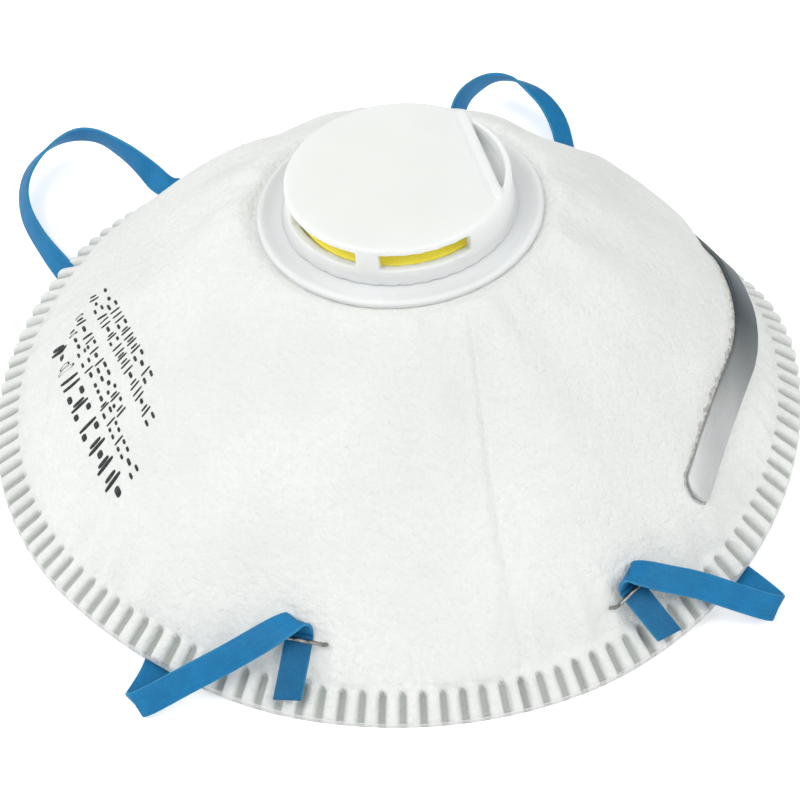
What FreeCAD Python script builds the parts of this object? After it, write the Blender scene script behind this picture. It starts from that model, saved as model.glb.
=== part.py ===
import FreeCAD, Part
import math
import os

# Disposable cup-shaped dust mask with a round exhalation valve and two elastic headbands.
# Millimetres.  The mask lies on its rim: +Z points out of the front of the cup, +Y to the nose,
# +X to the wearer's left.  The origin is on the resting plane, under the middle of the rim.
# An angle round the cup, "bearing", is counted in degrees from +Y towards +X.

V = FreeCAD.Vector

# ---- cup -------------------------------------------------------------------------------------
RIM_RADIUS = 70.8            # outer edge of the crimped rim
RIM_CHIN_GROWTH = 0.7        # the chin side reaches this much further out
NOSE_LIFT = 7.8              # the rim rises to clear the nose bridge
NOSE_LIFT_STARTS = 0.1       # cosine of the bearing where that rise starts
BAND_GAP_LIFT = 2.0          # the rim is wavy where the lower headband passes below it
BAND_GAP_BEARING = 137.0
BAND_GAP_SPREAD = 18.0
RIM_WIDTH = 4.6              # crimped flange, measured level
RIM_DROP = 2.9               # fall of the flange from its root to its edge
RIM_EDGE_HEIGHT = 1.3        # top of the rim's edge where the mask rests
RIM_THICKNESS = 1.6          # all layers pressed together; what is below the floor is pressed flat
CROWN_RADIUS = 26.6          # where the wall turns over into the weld ring round the valve
CROWN_HEIGHT = 45.7          # height of the valve's flat seat at its centre
WELD_RING_RISE = 0.9         # the ring stands this much above the seat
SEAT_RADIUS = 24.1           # edge of the flat seat
CROWN_TILT = 4.4             # degrees, leaning towards the chin
VALVE_HOLE_RADIUS = 16.8
WALL_STRAIGHTNESS = 0.93     # 1 gives a straight cone between rim and crown
WALL_BULGE_POWER = 14        # high powers keep the bulge close to the rim
LAYER_GAP = 0.03
COVER_THICKNESS = 0.45
FILTER_THICKNESS = 0.75
SHELL_THICKNESS = 1.1
POLES_ROUND = 36             # control points round the cup
WALL_STATIONS = (0.98, 0.93, 0.84, 0.68, 0.5, 0.32, 0.16, 0.05)

# ---- nose clip and foam ------------------------------------------------------------------------
CLIP_BEND_CENTRE_Y = 21.6    # seen along Z, the clip is an arc over the nose with straight legs
CLIP_BEND_RADIUS = 38.1
CLIP_BEND_HALF_ANGLE = 27.5
CLIP_LEG = 25.4
CLIP_PLAN_WIDTH = 3.9        # 5.4 mm on the slope of the cup
CLIP_THICKNESS = 0.7
GLUE_THICKNESS = 0.15
GLUE_MARGIN = 0.35
FOAM_RADII = (50.5, 60.5)
FOAM_HALF_ANGLE = 38.0
FOAM_THICKNESS = 4.0
Z_SPAN = (-5.0, 60.0)        # heights that contain the whole cup

# ---- valve, in its own frame: h is the height above the top of its flange -----------------------
VALVE_TURN = 7.4             # degrees about the valve's axis
FLANGE_RADIUS = 23.6
FLANGE_THICKNESS = 1.1
THROAT_RADIUS = 16.4
THROAT_DEPTH = 3.9
THROAT_WALL = 1.4
GRID_TOP = 0.3
SEAT_LIP_RADIUS = 13.4
SEAT_LIP_HEIGHT = 1.2
GRID_BAR = 1.3
HUB_RADIUS = 2.2
FLAP_RADIUS = 16.6
FLAP_THICKNESS = 0.6
FLAP_GAP = 0.15
FLAP_CHORD_Y = 12.7
CAP_BASE_RADIUS = 19.6
CAP_TOP_RADIUS = 18.5
CAP_HEIGHT = 6.6
CAP_WALL = 1.3
CAP_PLATE = 1.2
SLOT_BOTTOM = 2.5
SLOT_ARCS = ((66, 114), (126, 174), (186, 234), (246, 294))
BAR_Y = (13.1, 14.9)
BAR_RISE = 0.55
BAR_ROUNDING = 0.5
SLOT_MARGIN = 0.5            # the slots cut this far into the chamber
RIB_HALF_LENGTH = 7.0        # rib that holds the diaphragm down along its hinge
RIB_Y = (11.0, 12.4)
POCKET_FLOOR = 3.7
POCKET_WALL = 1.0

# ---- staples and headbands -----------------------------------------------------------------------
BAND_WIDTH = 4.5
BAND_THICKNESS = 0.6
CORD_DIAMETER = 1.3          # round stand-in for the flat band
TAIL_BELOW = 10.0            # free end below the staple
TAIL_ABOVE = 1.0             # band lying on the cup above the staple
END_CLEARANCE = 0.65         # from the cup's face to the underside of a headband's end
STAPLE_WIRE = 0.7
STAPLE_CROWN = 8.6
STAPLE_REACH = 4.6
STAPLE_CLINCH = 2.6
LOWER_STAPLE = (111.5, 63.0)     # bearing and distance from the axis
UPPER_STAPLE = (61.5, 63.0)
LOWER_TAIL_BEARING = 111.5
UPPER_TAIL_BEARING = 59.5
TAIL_AIM_RISE = 0.9          # the tail points at a spot this far above the rim's edge
ROUTE_ROUNDING = 0.45        # share of the shorter run taken by each tangent arc


def cup_edge(bearing):
    """Radius and height of the rim's outer top edge."""
    c = math.cos(math.radians(bearing))
    radius = RIM_RADIUS - RIM_CHIN_GROWTH * c
    rise = max(0.0, (c - NOSE_LIFT_STARTS) / (1 - NOSE_LIFT_STARTS))
    height = RIM_EDGE_HEIGHT + NOSE_LIFT * rise ** 2 * (1 + c) / 2
    off = (abs((bearing + 180) % 360 - 180) - BAND_GAP_BEARING) / BAND_GAP_SPREAD
    return radius, height + BAND_GAP_LIFT * math.exp(-off * off)


def seat_height(radius, bearing):
    """Height of the valve's tilted seat plane."""
    lean = math.tan(math.radians(CROWN_TILT))
    return CROWN_HEIGHT + lean * radius * math.cos(math.radians(bearing))


def outline(bearing):
    """The cup's outer surface at one bearing, from the rim's edge to the valve hole: (r, z)."""
    edge_r, edge_z = cup_edge(bearing)
    root_r = edge_r - RIM_WIDTH
    root_z = edge_z + RIM_DROP
    points = [(edge_r, edge_z), (edge_r - RIM_WIDTH * 0.35, edge_z + RIM_DROP * 0.35),
              (edge_r - RIM_WIDTH * 0.75, edge_z + RIM_DROP * 0.72), (root_r, root_z)]
    top_z = seat_height(CROWN_RADIUS, bearing) + WELD_RING_RISE
    for u in WALL_STATIONS:
        climb = WALL_STRAIGHTNESS * (1 - u) + (1 - WALL_STRAIGHTNESS) * (1 - u ** WALL_BULGE_POWER)
        points.append((CROWN_RADIUS + (root_r - CROWN_RADIUS) * u, root_z + (top_z - root_z) * climb))
    ring_top = CROWN_RADIUS - 1.1
    points.append((ring_top, seat_height(ring_top, bearing) + WELD_RING_RISE))
    for r in (SEAT_RADIUS + 0.3, SEAT_RADIUS - 0.6, 21.5, 19.0, VALVE_HOLE_RADIUS):
        points.append((r, seat_height(r, bearing)))
    return points


def offset_outline(bearing, depth):
    """The outline moved inwards by depth; the rim's stations move less, as its layers are pressed."""
    points = outline(bearing)
    full = COVER_THICKNESS + FILTER_THICKNESS + SHELL_THICKNESS + 2 * LAYER_GAP
    moved = []
    for i, (r, z) in enumerate(points):
        before = points[max(i - 1, 0)]
        after = points[min(i + 1, len(points) - 1)]
        dr = after[0] - before[0]
        dz = after[1] - before[1]
        length = math.hypot(dr, dz)
        pressed = RIM_THICKNESS / full if depth > 0 else 1.0
        share = {0: pressed, 1: pressed, 2: pressed, 3: (1 + pressed) / 2}.get(i, 1.0)
        if i < 2 and depth > 0:
            moved.append((r, z - depth * share))
        else:
            moved.append((r - depth * share * dz / length, z + depth * share * dr / length))
    return moved


def cup_surface(depth):
    """Smooth closed surface at one depth below the cup's outer face."""
    spread = (4 + 2 * math.cos(2 * math.pi / POLES_ROUND)) / 6
    columns = []
    for j in range(POLES_ROUND):
        bearing = 360.0 * j / POLES_ROUND
        s, c = math.sin(math.radians(bearing)), math.cos(math.radians(bearing))
        columns.append([V(r * s / spread, r * c / spread, z) for r, z in offset_outline(bearing, depth)])
    rows = [list(row) for row in zip(*columns)]
    inner_knots = len(rows) - 4
    surface = Part.BSplineSurface()
    surface.buildFromPolesMultsKnots(
        rows, [4] + [1] * inner_knots + [4], [1] * (POLES_ROUND + 1),
        [float(k) for k in range(inner_knots + 2)], [float(k) for k in range(POLES_ROUND + 1)],
        False, True, 3, 3)
    return surface


def skin(depth_out, depth_in):
    """Closed solid between two depths."""
    outer = cup_surface(depth_out).toShape()
    inner = cup_surface(depth_in).toShape()
    faces = [outer, inner]
    u_end = cup_surface(depth_out).bounds()[1]
    for u in (0.0, u_end):
        rim_a = cup_surface(depth_out).uIso(u).toShape()
        rim_b = cup_surface(depth_in).uIso(u).toShape()
        faces.append(Part.makeRuledSurface(rim_a, rim_b))
    shell = Part.makeShell(faces)
    shell.sewShape()
    solid = Part.makeSolid(Part.Shell(shell.Faces))
    if solid.Volume < 0:
        solid.reverse()
    return solid


def clip_outline(half_width, z_low, z_high):
    """Prism over the nose clip's plan outline: an arc, two straight legs and round ends."""
    a = math.radians(CLIP_BEND_HALF_ANGLE)

    def at(offset, side, leg):
        r = CLIP_BEND_RADIUS + offset
        return V(side * (r * math.sin(a) + leg * math.cos(a)),
                 CLIP_BEND_CENTRE_Y + r * math.cos(a) - leg * math.sin(a), z_low)

    def top(offset):
        return V(0, CLIP_BEND_CENTRE_Y + CLIP_BEND_RADIUS + offset, z_low)

    w = half_width
    tip = CLIP_LEG + w
    edges = [Part.Arc(at(w, -1, 0), top(w), at(w, 1, 0)).toShape(),
             Part.LineSegment(at(w, 1, 0), at(w, 1, CLIP_LEG)).toShape(),
             Part.Arc(at(w, 1, CLIP_LEG), at(0, 1, tip), at(-w, 1, CLIP_LEG)).toShape(),
             Part.LineSegment(at(-w, 1, CLIP_LEG), at(-w, 1, 0)).toShape(),
             Part.Arc(at(-w, 1, 0), top(-w), at(-w, -1, 0)).toShape(),
             Part.LineSegment(at(-w, -1, 0), at(-w, -1, CLIP_LEG)).toShape(),
             Part.Arc(at(-w, -1, CLIP_LEG), at(0, -1, tip), at(w, -1, CLIP_LEG)).toShape(),
             Part.LineSegment(at(w, -1, CLIP_LEG), at(w, -1, 0)).toShape()]
    return Part.Face(Part.Wire(edges)).extrude(V(0, 0, z_high - z_low))


def ring_sector(r_in, r_out, half_angle, z_low, z_high):
    """Prism over a bent strip with round ends, centred on the nose."""
    a = math.radians(half_angle)
    mid = (r_in + r_out) / 2
    end_r = (r_out - r_in) / 2

    def at(r, angle):
        return V(r * math.sin(angle), r * math.cos(angle), z_low)

    over = a + end_r / mid
    edges = [Part.Arc(at(r_out, -a), at(r_out, 0), at(r_out, a)).toShape(),
             Part.Arc(at(r_out, a), at(mid, over), at(r_in, a)).toShape(),
             Part.Arc(at(r_in, a), at(r_in, 0), at(r_in, -a)).toShape(),
             Part.Arc(at(r_in, -a), at(mid, -over), at(r_out, -a)).toShape()]
    face = Part.Face(Part.Wire(edges))
    return face.extrude(V(0, 0, z_high - z_low))


def strip(depth_out, depth_in, prism):
    """A strip of the prism's plan shape, lying on or in the cup between two depths."""
    return skin(depth_out, depth_in).common(prism)


def above_floor(shape):
    """What is left of a shape above the resting plane."""
    reach = 2 * RIM_RADIUS
    return shape.cut(Part.makeBox(2 * reach, 2 * reach, reach, V(-reach, -reach, -reach)))


# ---- valve -----------------------------------------------------------------------------------------
def place_valve(shape):
    """Move a shape from the valve's own frame onto the cup."""
    placed = shape.copy()
    placed.rotate(V(0, 0, 0), V(0, 0, 1), VALVE_TURN)
    placed.translate(V(0, 0, FLANGE_THICKNESS + LAYER_GAP))
    placed.rotate(V(0, 0, 0), V(1, 0, 0), CROWN_TILT)
    placed.translate(V(0, 0, CROWN_HEIGHT))
    return placed


def turned(profile):
    """Solid of revolution about the valve's axis.  The profile is a closed list of (r, h) points;
    a pair of pairs is an arc's middle and end instead of a straight run's end."""
    last = V(profile[0][0], 0, profile[0][1])
    edges = []
    for item in profile[1:] + profile[:1]:
        if isinstance(item[0], tuple):
            middle, end = [V(r, 0, h) for r, h in item]
            edges.append(Part.Arc(last, middle, end).toShape())
        else:
            end = V(item[0], 0, item[1])
            edges.append(Part.LineSegment(last, end).toShape())
        last = end
    return Part.Face(Part.Wire(edges)).revolve(V(0, 0, 0), V(0, 0, 1), 360)


def disc(radius, low, high):
    return Part.makeCylinder(radius, high - low, V(0, 0, low))


def block(x0, x1, y0, y1, z0, z1):
    return Part.makeBox(x1 - x0, y1 - y0, z1 - z0, V(x0, y0, z0))


def make_valve_seat():
    flange = turned([(SEAT_LIP_RADIUS, -FLANGE_THICKNESS), (FLANGE_RADIUS, -FLANGE_THICKNESS),
                     (FLANGE_RADIUS, -0.3), ((FLANGE_RADIUS - 0.45, 0.12), (FLANGE_RADIUS - 1.1, 0.02)),
                     ((FLANGE_RADIUS - 2.3, -0.22), (CAP_BASE_RADIUS + 0.1, 0.0)),
                     (THROAT_RADIUS, 0.0), (THROAT_RADIUS - 1.0, 0.5),
                     (SEAT_LIP_RADIUS + 0.9, 0.5), (SEAT_LIP_RADIUS + 0.6, SEAT_LIP_HEIGHT),
                     (SEAT_LIP_RADIUS, SEAT_LIP_HEIGHT)])
    throat = disc(THROAT_RADIUS, -THROAT_DEPTH, -FLANGE_THICKNESS)
    throat = throat.cut(disc(THROAT_RADIUS - THROAT_WALL, -THROAT_DEPTH, -FLANGE_THICKNESS))
    bar_length = SEAT_LIP_RADIUS + 0.3
    seat = flange.fuse(throat)
    for turn in (0, 60, 120):
        bar = block(-bar_length, bar_length, -GRID_BAR / 2, GRID_BAR / 2, -FLANGE_THICKNESS, GRID_TOP)
        bar.rotate(V(0, 0, 0), V(0, 0, 1), turn)
        seat = seat.fuse(bar)
    seat = seat.fuse(disc(HUB_RADIUS, -FLANGE_THICKNESS, GRID_TOP))
    return seat.removeSplitter()


def make_valve_diaphragm():
    low = SEAT_LIP_HEIGHT + FLAP_GAP
    flap = disc(FLAP_RADIUS, low, low + FLAP_THICKNESS)
    return flap.cut(block(-20, 20, FLAP_CHORD_Y, 20, low - 1, low + 2))


def sector(radius, start, end, low, high):
    """Wedge between two bearings of the valve."""
    wedge = Part.makeCylinder(radius, high - low, V(0, 0, low), V(0, 0, 1), end - start)
    wedge.rotate(V(0, 0, 0), V(0, 0, 1), 90 - end)
    return wedge


def make_valve_cap():
    top = CAP_HEIGHT
    body = turned([(0, 0.02), (CAP_BASE_RADIUS, 0.02), (CAP_BASE_RADIUS, 0.12),
                   ((CAP_TOP_RADIUS + 0.52, 0.6), (CAP_TOP_RADIUS + 0.25, 1.6)),
                   (CAP_TOP_RADIUS, top - 0.5),
                   ((CAP_TOP_RADIUS - 0.15, top - 0.15), (CAP_TOP_RADIUS - 0.5, top)), (0, top)])
    room = CAP_TOP_RADIUS - CAP_WALL
    chamber = disc(room, 0, top - CAP_PLATE).cut(block(-20, 20, BAR_Y[0], 20, POCKET_FLOOR - CAP_PLATE, 9))
    body = body.cut(chamber)
    pocket = disc(CAP_TOP_RADIUS - POCKET_WALL, POCKET_FLOOR, top + 1)
    body = body.cut(pocket.common(block(-20, 20, BAR_Y[1], 20, POCKET_FLOOR, top + 1)))
    for start, end in SLOT_ARCS:
        slot = sector(CAP_BASE_RADIUS + 2, start, end, SLOT_BOTTOM, top - CAP_PLATE)
        body = body.cut(slot.cut(disc(room - SLOT_MARGIN, SLOT_BOTTOM - 1, top)))
    half = math.sqrt(CAP_TOP_RADIUS ** 2 - BAR_Y[1] ** 2) + 0.9
    bar = block(-half, half, BAR_Y[0], BAR_Y[1], top - 1, top + BAR_RISE)
    long_edges = [e for e in bar.Edges if e.Length > 2 * half - 0.1 and e.CenterOfMass.z > top]
    bar = bar.makeFillet(BAR_ROUNDING, long_edges).common(disc(CAP_TOP_RADIUS + 0.05, 0, 20))
    body = body.fuse(bar)
    rib = block(-RIB_HALF_LENGTH, RIB_HALF_LENGTH, RIB_Y[0], RIB_Y[1],
                SEAT_LIP_HEIGHT + FLAP_GAP + FLAP_THICKNESS + 0.2, top - CAP_PLATE + 0.2)
    return body.fuse(rib).removeSplitter()


# ---- staples, headband ends and headbands ------------------------------------------------------------
def wall_height(radius, bearing):
    """Height of the cup's outer face at a distance from the axis."""
    points = outline(bearing)
    for (r0, z0), (r1, z1) in zip(points, points[1:]):
        if r1 <= radius <= r0:
            return z0 + (z1 - z0) * (r0 - radius) / (r0 - r1)
    return points[-1][1]


def clamp_frame(side, staple, tail_bearing):
    """Staple point, direction down the band's tail, outward normal and tangent, at one clamp."""
    bearing, radius = staple
    spot = V(radius * math.sin(math.radians(bearing)), radius * math.cos(math.radians(bearing)),
             wall_height(radius, bearing))
    edge_r, edge_z = cup_edge(tail_bearing)
    end = V(edge_r * math.sin(math.radians(tail_bearing)), edge_r * math.cos(math.radians(tail_bearing)),
            edge_z + TAIL_AIM_RISE)
    down = (end - spot).normalize()
    tangent = V(math.cos(math.radians(bearing)), -math.sin(math.radians(bearing)), 0)
    tangent = (tangent - down * tangent.dot(down)).normalize()
    normal = tangent.cross(down)
    if normal.z < 0:
        normal = normal * -1
    if side < 0:
        spot, down, tangent, normal = [V(-v.x, v.y, v.z) for v in (spot, down, tangent, normal)]
    return spot + normal * END_CLEARANCE, down, tangent, normal


def slab(centre, along, across, up, length, width, height):
    """Rectangular block with given directions, its underside's centre at centre."""
    corner = centre - along * (length / 2) - across * (width / 2)
    points = [corner, corner + along * length, corner + along * length + across * width,
              corner + across * width, corner]
    return Part.Face(Part.makePolygon(points)).extrude(up * height)


def make_band_end(side, staple, tail_bearing):
    spot, down, tangent, normal = clamp_frame(side, staple, tail_bearing)
    middle = spot + down * ((TAIL_BELOW - TAIL_ABOVE) / 2)
    return slab(middle, down, tangent, normal, TAIL_BELOW + TAIL_ABOVE, BAND_WIDTH, BAND_THICKNESS)


def rod(start, end, radius):
    way = end - start
    return Part.makeCylinder(radius, way.Length, start, way)


def make_staple(side, staple, tail_bearing):
    spot, down, tangent, normal = clamp_frame(side, staple, tail_bearing)
    radius = STAPLE_WIRE / 2
    crown = spot + normal * (BAND_THICKNESS + radius)
    a = crown - tangent * (STAPLE_CROWN / 2)
    b = crown + tangent * (STAPLE_CROWN / 2)
    a_low = a - normal * STAPLE_REACH
    b_low = b - normal * STAPLE_REACH
    a_tip = a_low + tangent * STAPLE_CLINCH
    b_tip = b_low - tangent * STAPLE_CLINCH
    wire = rod(a, b, radius)
    for start, end in ((a, a_low), (b, b_low), (a_low, a_tip), (b_low, b_tip)):
        wire = wire.fuse(rod(start, end, radius))
    for corner in (a, b, a_low, b_low):
        wire = wire.fuse(Part.makeSphere(radius, corner))
    return wire.removeSplitter()


LOWER_ROUTE = [
    (58.5, -23.1, 11.1), (57.8, -22.9, 12.3), (57.6, -23.7, 13.6), (58.7, -25.7, 13.6),
    (59.6, -29.2, 12.0), (60.6, -35.0, 9.0), (61.4, -41.5, 5.8), (62.6, -47.6, 3.0),
    (62.2, -50.0, 1.5), (59.3, -48.4, 0.75), (54.5, -45.9, 0.7), (45.0, -43.0, 0.75),
    (25.0, -41.0, 0.75), (2.0, -43.5, 0.75), (-20.0, -49.5, 0.75), (-38.0, -57.2, 0.75),
    (-48.5, -62.8, 1.1), (-59.0, -66.4, 2.6), (-68.8, -65.2, 4.2), (-75.0, -59.2, 6.0),
    (-75.0, -52.2, 7.3), (-67.4, -46.0, 8.2), (-61.0, -42.0, 8.7), (-56.6, -38.4, 9.2),
    (-57.4, -33.6, 10.4), (-58.8, -28.8, 12.0), (-58.7, -25.7, 13.6), (-57.6, -23.7, 13.6),
    (-57.8, -22.9, 12.3), (-58.5, -23.1, 11.1)]
UPPER_ROUTE = [
    (55.3, 29.8, 11.3), (54.9, 29.5, 12.5), (54.7, 30.1, 13.8), (55.4, 32.3, 13.8),
    (55.4, 35.9, 12.0), (54.9, 41.5, 9.3), (55.6, 48.0, 6.2), (56.8, 54.2, 3.8),
    (55.8, 56.2, 2.8), (52.2, 53.6, 2.2), (47.2, 50.2, 1.8), (40.0, 46.0, 1.0),
    (26.0, 41.0, 0.75), (4.0, 38.0, 0.75), (-20.0, 37.4, 0.75), (-42.0, 38.8, 0.75),
    (-57.0, 40.6, 0.8), (-66.6, 41.5, 1.7), (-74.4, 41.0, 3.2), (-80.3, 38.2, 4.6),
    (-84.0, 32.5, 6.4), (-79.3, 25.6, 8.6), (-71.0, 21.4, 10.6), (-63.6, 21.6, 12.4),
    (-58.2, 25.0, 13.9), (-55.5, 28.3, 13.9), (-54.9, 29.5, 12.5), (-55.3, 29.8, 11.3)]


def route_path(points):
    """Straight runs joined by tangent arcs; prints each arc's radius."""
    edges = []
    radii = []
    start = points[0]
    for before, corner, after in zip(points, points[1:], points[2:]):
        back = before - corner
        on = after - corner
        shorter = min(back.Length, on.Length)
        half = math.radians(180 - math.degrees(back.getAngle(on))) / 2
        cut = ROUTE_ROUNDING * shorter
        radii.append(cut / math.tan(half))
        enter = corner + back.normalize() * cut
        leave = corner + on.normalize() * cut
        bisector = ((enter + leave) * 0.5 - corner).normalize()
        centre = corner + bisector * (radii[-1] / math.cos(half))
        middle = centre - bisector * radii[-1]
        edges.append(Part.LineSegment(start, enter).toShape())
        edges.append(Part.Arc(enter, middle, leave).toShape())
        start = leave
    edges.append(Part.LineSegment(start, points[-1]).toShape())
    return Part.Wire(edges), radii


def make_headband(name, route):
    points = [V(*p) for p in route]
    path, radii = route_path(points)
    section = Part.Wire([Part.makeCircle(CORD_DIAMETER / 2, points[0], points[1] - points[0])])
    tube = path.makePipeShell([section], True, True)
    expected = path.Length * math.pi * CORD_DIAMETER ** 2 / 4
    print(name, "length", round(path.Length, 1), "volume ratio", round(tube.Volume / expected, 4))
    print("  radii", [round(r, 1) for r in radii])
    return tube


def both_sides(make, staple, tail_bearing):
    return [make(side, staple, tail_bearing) for side in (1, -1)]


filter_top = COVER_THICKNESS + LAYER_GAP
shell_top = filter_top + FILTER_THICKNESS + LAYER_GAP
shell_bottom = shell_top + SHELL_THICKNESS
glue_top = -LAYER_GAP - GLUE_THICKNESS

nodes = {
    "outer_cover": skin(0, COVER_THICKNESS),
    "filter_layer": skin(filter_top, filter_top + FILTER_THICKNESS),
    "inner_shell": above_floor(skin(shell_top, shell_bottom)),
    "clip_adhesive": strip(glue_top, -LAYER_GAP, clip_outline(CLIP_PLAN_WIDTH / 2 + GLUE_MARGIN, *Z_SPAN)),
    "nose_clip": strip(glue_top - LAYER_GAP - CLIP_THICKNESS, glue_top - LAYER_GAP,
                       clip_outline(CLIP_PLAN_WIDTH / 2, *Z_SPAN)),
    "nose_foam": strip(shell_bottom + LAYER_GAP, shell_bottom + LAYER_GAP + FOAM_THICKNESS,
                       ring_sector(FOAM_RADII[0], FOAM_RADII[1], FOAM_HALF_ANGLE, *Z_SPAN)),
    "valve_seat": place_valve(make_valve_seat()),
    "valve_diaphragm": place_valve(make_valve_diaphragm()),
    "valve_cap": place_valve(make_valve_cap()),
    "staples": Part.makeCompound(both_sides(make_staple, LOWER_STAPLE, LOWER_TAIL_BEARING)
                                 + both_sides(make_staple, UPPER_STAPLE, UPPER_TAIL_BEARING)),
    "lower_band_ends": Part.makeCompound(both_sides(make_band_end, LOWER_STAPLE, LOWER_TAIL_BEARING)),
    "upper_band_ends": Part.makeCompound(both_sides(make_band_end, UPPER_STAPLE, UPPER_TAIL_BEARING)),
    "lower_headband": make_headband("lower_headband", LOWER_ROUTE),
    "upper_headband": make_headband("upper_headband", UPPER_ROUTE),
}

os.makedirs("parts", exist_ok=True)
for node, shape in nodes.items():
    shape.exportStep("parts/%s.step" % node)
    box = shape.BoundBox
    print(node, "valid", shape.isValid(), "solids", len(shape.Solids), "volume", round(shape.Volume, 1))
    print("  x %.1f..%.1f" % (box.XMin, box.XMax), "y %.1f..%.1f" % (box.YMin, box.YMax),
          "z %.2f..%.2f" % (box.ZMin, box.ZMax))
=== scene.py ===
import math

import bpy
import numpy as np
from mathutils import Matrix, Vector


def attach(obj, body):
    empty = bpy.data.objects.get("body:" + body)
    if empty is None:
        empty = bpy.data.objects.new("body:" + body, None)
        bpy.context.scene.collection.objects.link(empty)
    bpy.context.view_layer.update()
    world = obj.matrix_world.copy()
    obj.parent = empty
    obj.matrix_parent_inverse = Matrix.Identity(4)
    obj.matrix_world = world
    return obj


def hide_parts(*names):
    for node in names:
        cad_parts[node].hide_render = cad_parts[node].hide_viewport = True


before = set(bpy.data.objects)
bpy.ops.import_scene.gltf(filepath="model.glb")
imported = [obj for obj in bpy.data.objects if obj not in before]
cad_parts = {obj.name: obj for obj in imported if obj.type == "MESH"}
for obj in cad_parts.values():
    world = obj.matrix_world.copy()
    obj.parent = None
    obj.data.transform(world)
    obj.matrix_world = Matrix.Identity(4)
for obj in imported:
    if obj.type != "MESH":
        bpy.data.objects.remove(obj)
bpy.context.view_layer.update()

# A disposable dust mask, lying on its rim.  The object's lengths are millimetres in the CAD model's
# frame and become metres only when a mesh is made; lights, camera and the materials' scales are in
# metres.  A "bearing" runs from +Y (the nose) towards +X, in degrees.  The cup's own formulas
# repeat the design's driving dimensions.

MM = 0.001
SEED = 7

# ---- cup, as designed ------------------------------------
RIM_RADIUS = 70.8
RIM_CHIN_GROWTH = 0.7
NOSE_LIFT = 7.8
NOSE_LIFT_STARTS = 0.1
BAND_GAP_LIFT = 2.0
BAND_GAP_BEARING = 137.0
BAND_GAP_SPREAD = 18.0
RIM_WIDTH = 4.6
RIM_DROP = 2.9
RIM_EDGE_HEIGHT = 1.3
RIM_THICKNESS = 1.6
CROWN_RADIUS = 26.6
CROWN_HEIGHT = 45.7
WELD_RING_RISE = 0.9
SEAT_RADIUS = 24.1
CROWN_TILT = 4.4
VALVE_HOLE_RADIUS = 16.8
WALL_STRAIGHTNESS = 0.93
WALL_BULGE_POWER = 14
WALL_STATIONS = (0.98, 0.93, 0.84, 0.68, 0.5, 0.32, 0.16, 0.05)
COVER_DEPTHS = (0.0, 0.45)
FILTER_DEPTHS = (0.48, 1.23)
SHELL_DEPTHS = (1.26, 2.36)
STATIONS = 18                    # control points of the profile
U_WALL, U_RING, U_SEAT, U_END = 2.6, 10.4, 12.6, 15.0    # where the rows' spacing changes

# ---- crimp and mesh --------------------------------------
TEETH = 134
COLUMNS_PER_TOOTH = 8
COVER_SPACING = (0.46, 1.05, 0.6)    # of a web's rows over the rim, up the wall and over the weld ring
FILTER_SPACING = (0.6, 2.4, 1.2)
SHELL_SPACING = (0.45, 1.1, 0.6)
SEAT_SPACING = 4.0               # rows under the valve, which hides them
GROOVE_SHARE = 0.21              # half of a groove, as a share of the pitch
GROOVE_DEPTH = 0.72
PAD_PUFF = 0.38
GROOVE_LENGTH = 4.3
GROOVE_END_ROUNDING = 0.5
GROOVE_WALL = 0.14               # width of a groove's side, as a share of the pitch

# ---- headbands, staples, clip, foam ----------------------
BAND_WIDTH = 4.5
BAND_THICKNESS = 0.6
BAND_CORNER = 0.18
FLOOR_CLEARANCE = 0.02
TAIL_BELOW = 10.0
TAIL_ABOVE = 1.0
TAIL_END_GAP = 0.4
TAIL_END_RISE = 0.9
TAIL_CURL = 0.25
TAIL_SLANTS = {"lower": 0.16, "upper": -0.3}
END_CLEARANCE = 0.65
STAPLE_WIRE = 0.7
STAPLE_CROWN = 8.6
STAPLE_REACH = 4.6
STAPLE_CLINCH = 2.6
STAPLE_BEND = 0.75
# Each pair of staples: bearing, radius and the bearing where the tail meets the rim.
CLAMPS = {"lower": (111.5, 63.0, 111.5), "upper": (61.5, 63.0, 59.5)}
CLIP_BEND_CENTRE_Y = 21.6
CLIP_BEND_RADIUS = 38.1
CLIP_BEND_HALF_ANGLE = 27.5
CLIP_LEG = 25.4
CLIP_PLAN_WIDTH = 3.9
FAR_CLIP_SHIFT = 1.3             # the far half was pressed on a little nearer to the rim
CLIP_UNDERSIDE, CLIP_TOP = 0.2, 0.9
GLUE_UNDERSIDE, GLUE_TOP = -0.05, 0.19
GLUE_MARGIN = 0.2
GLUE_RAGGEDNESS = 0.55
FOAM_HALF_ANGLE = 37.6
FOAM_INNER_RADIUS, FOAM_OUTER_RADIUS = 50.9, 60.1
FOAM_THICKNESS = 3.7
FOAM_GAP = 0.12
FOAM_TAPER_ANGLE = 4.0
FOAM_CROWNING = 0.45             # the power that rounds the pad's section: 1 is an ellipse

LOWER_ROUTE = [
    (58.5, -23.1, 11.1), (57.8, -22.9, 12.3), (57.6, -23.7, 13.6), (58.7, -25.7, 13.6),
    (59.6, -29.2, 12.0), (60.6, -35.0, 9.0), (61.4, -41.5, 5.8), (62.6, -47.6, 3.0),
    (62.2, -50.0, 1.6), (59.3, -48.4, 0.9), (54.5, -45.9, 0.7), (45.0, -43.0, 0.75),
    (25.0, -41.0, 0.75), (2.0, -43.5, 0.75), (-20.0, -49.5, 0.9), (-38.0, -57.2, 1.7),
    (-48.5, -62.8, 2.3), (-59.0, -66.4, 3.0), (-68.8, -65.2, 4.2), (-75.0, -59.2, 6.0),
    (-75.0, -52.2, 7.3), (-67.4, -46.0, 8.2), (-61.0, -42.0, 8.5), (-55.4, -38.4, 7.6),
    (-55.6, -34.2, 6.6), (-58.0, -28.6, 9.6), (-58.0, -25.6, 11.9), (-57.2, -23.7, 12.7),
    (-57.8, -22.9, 12.3), (-58.5, -23.1, 11.1)]
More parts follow.
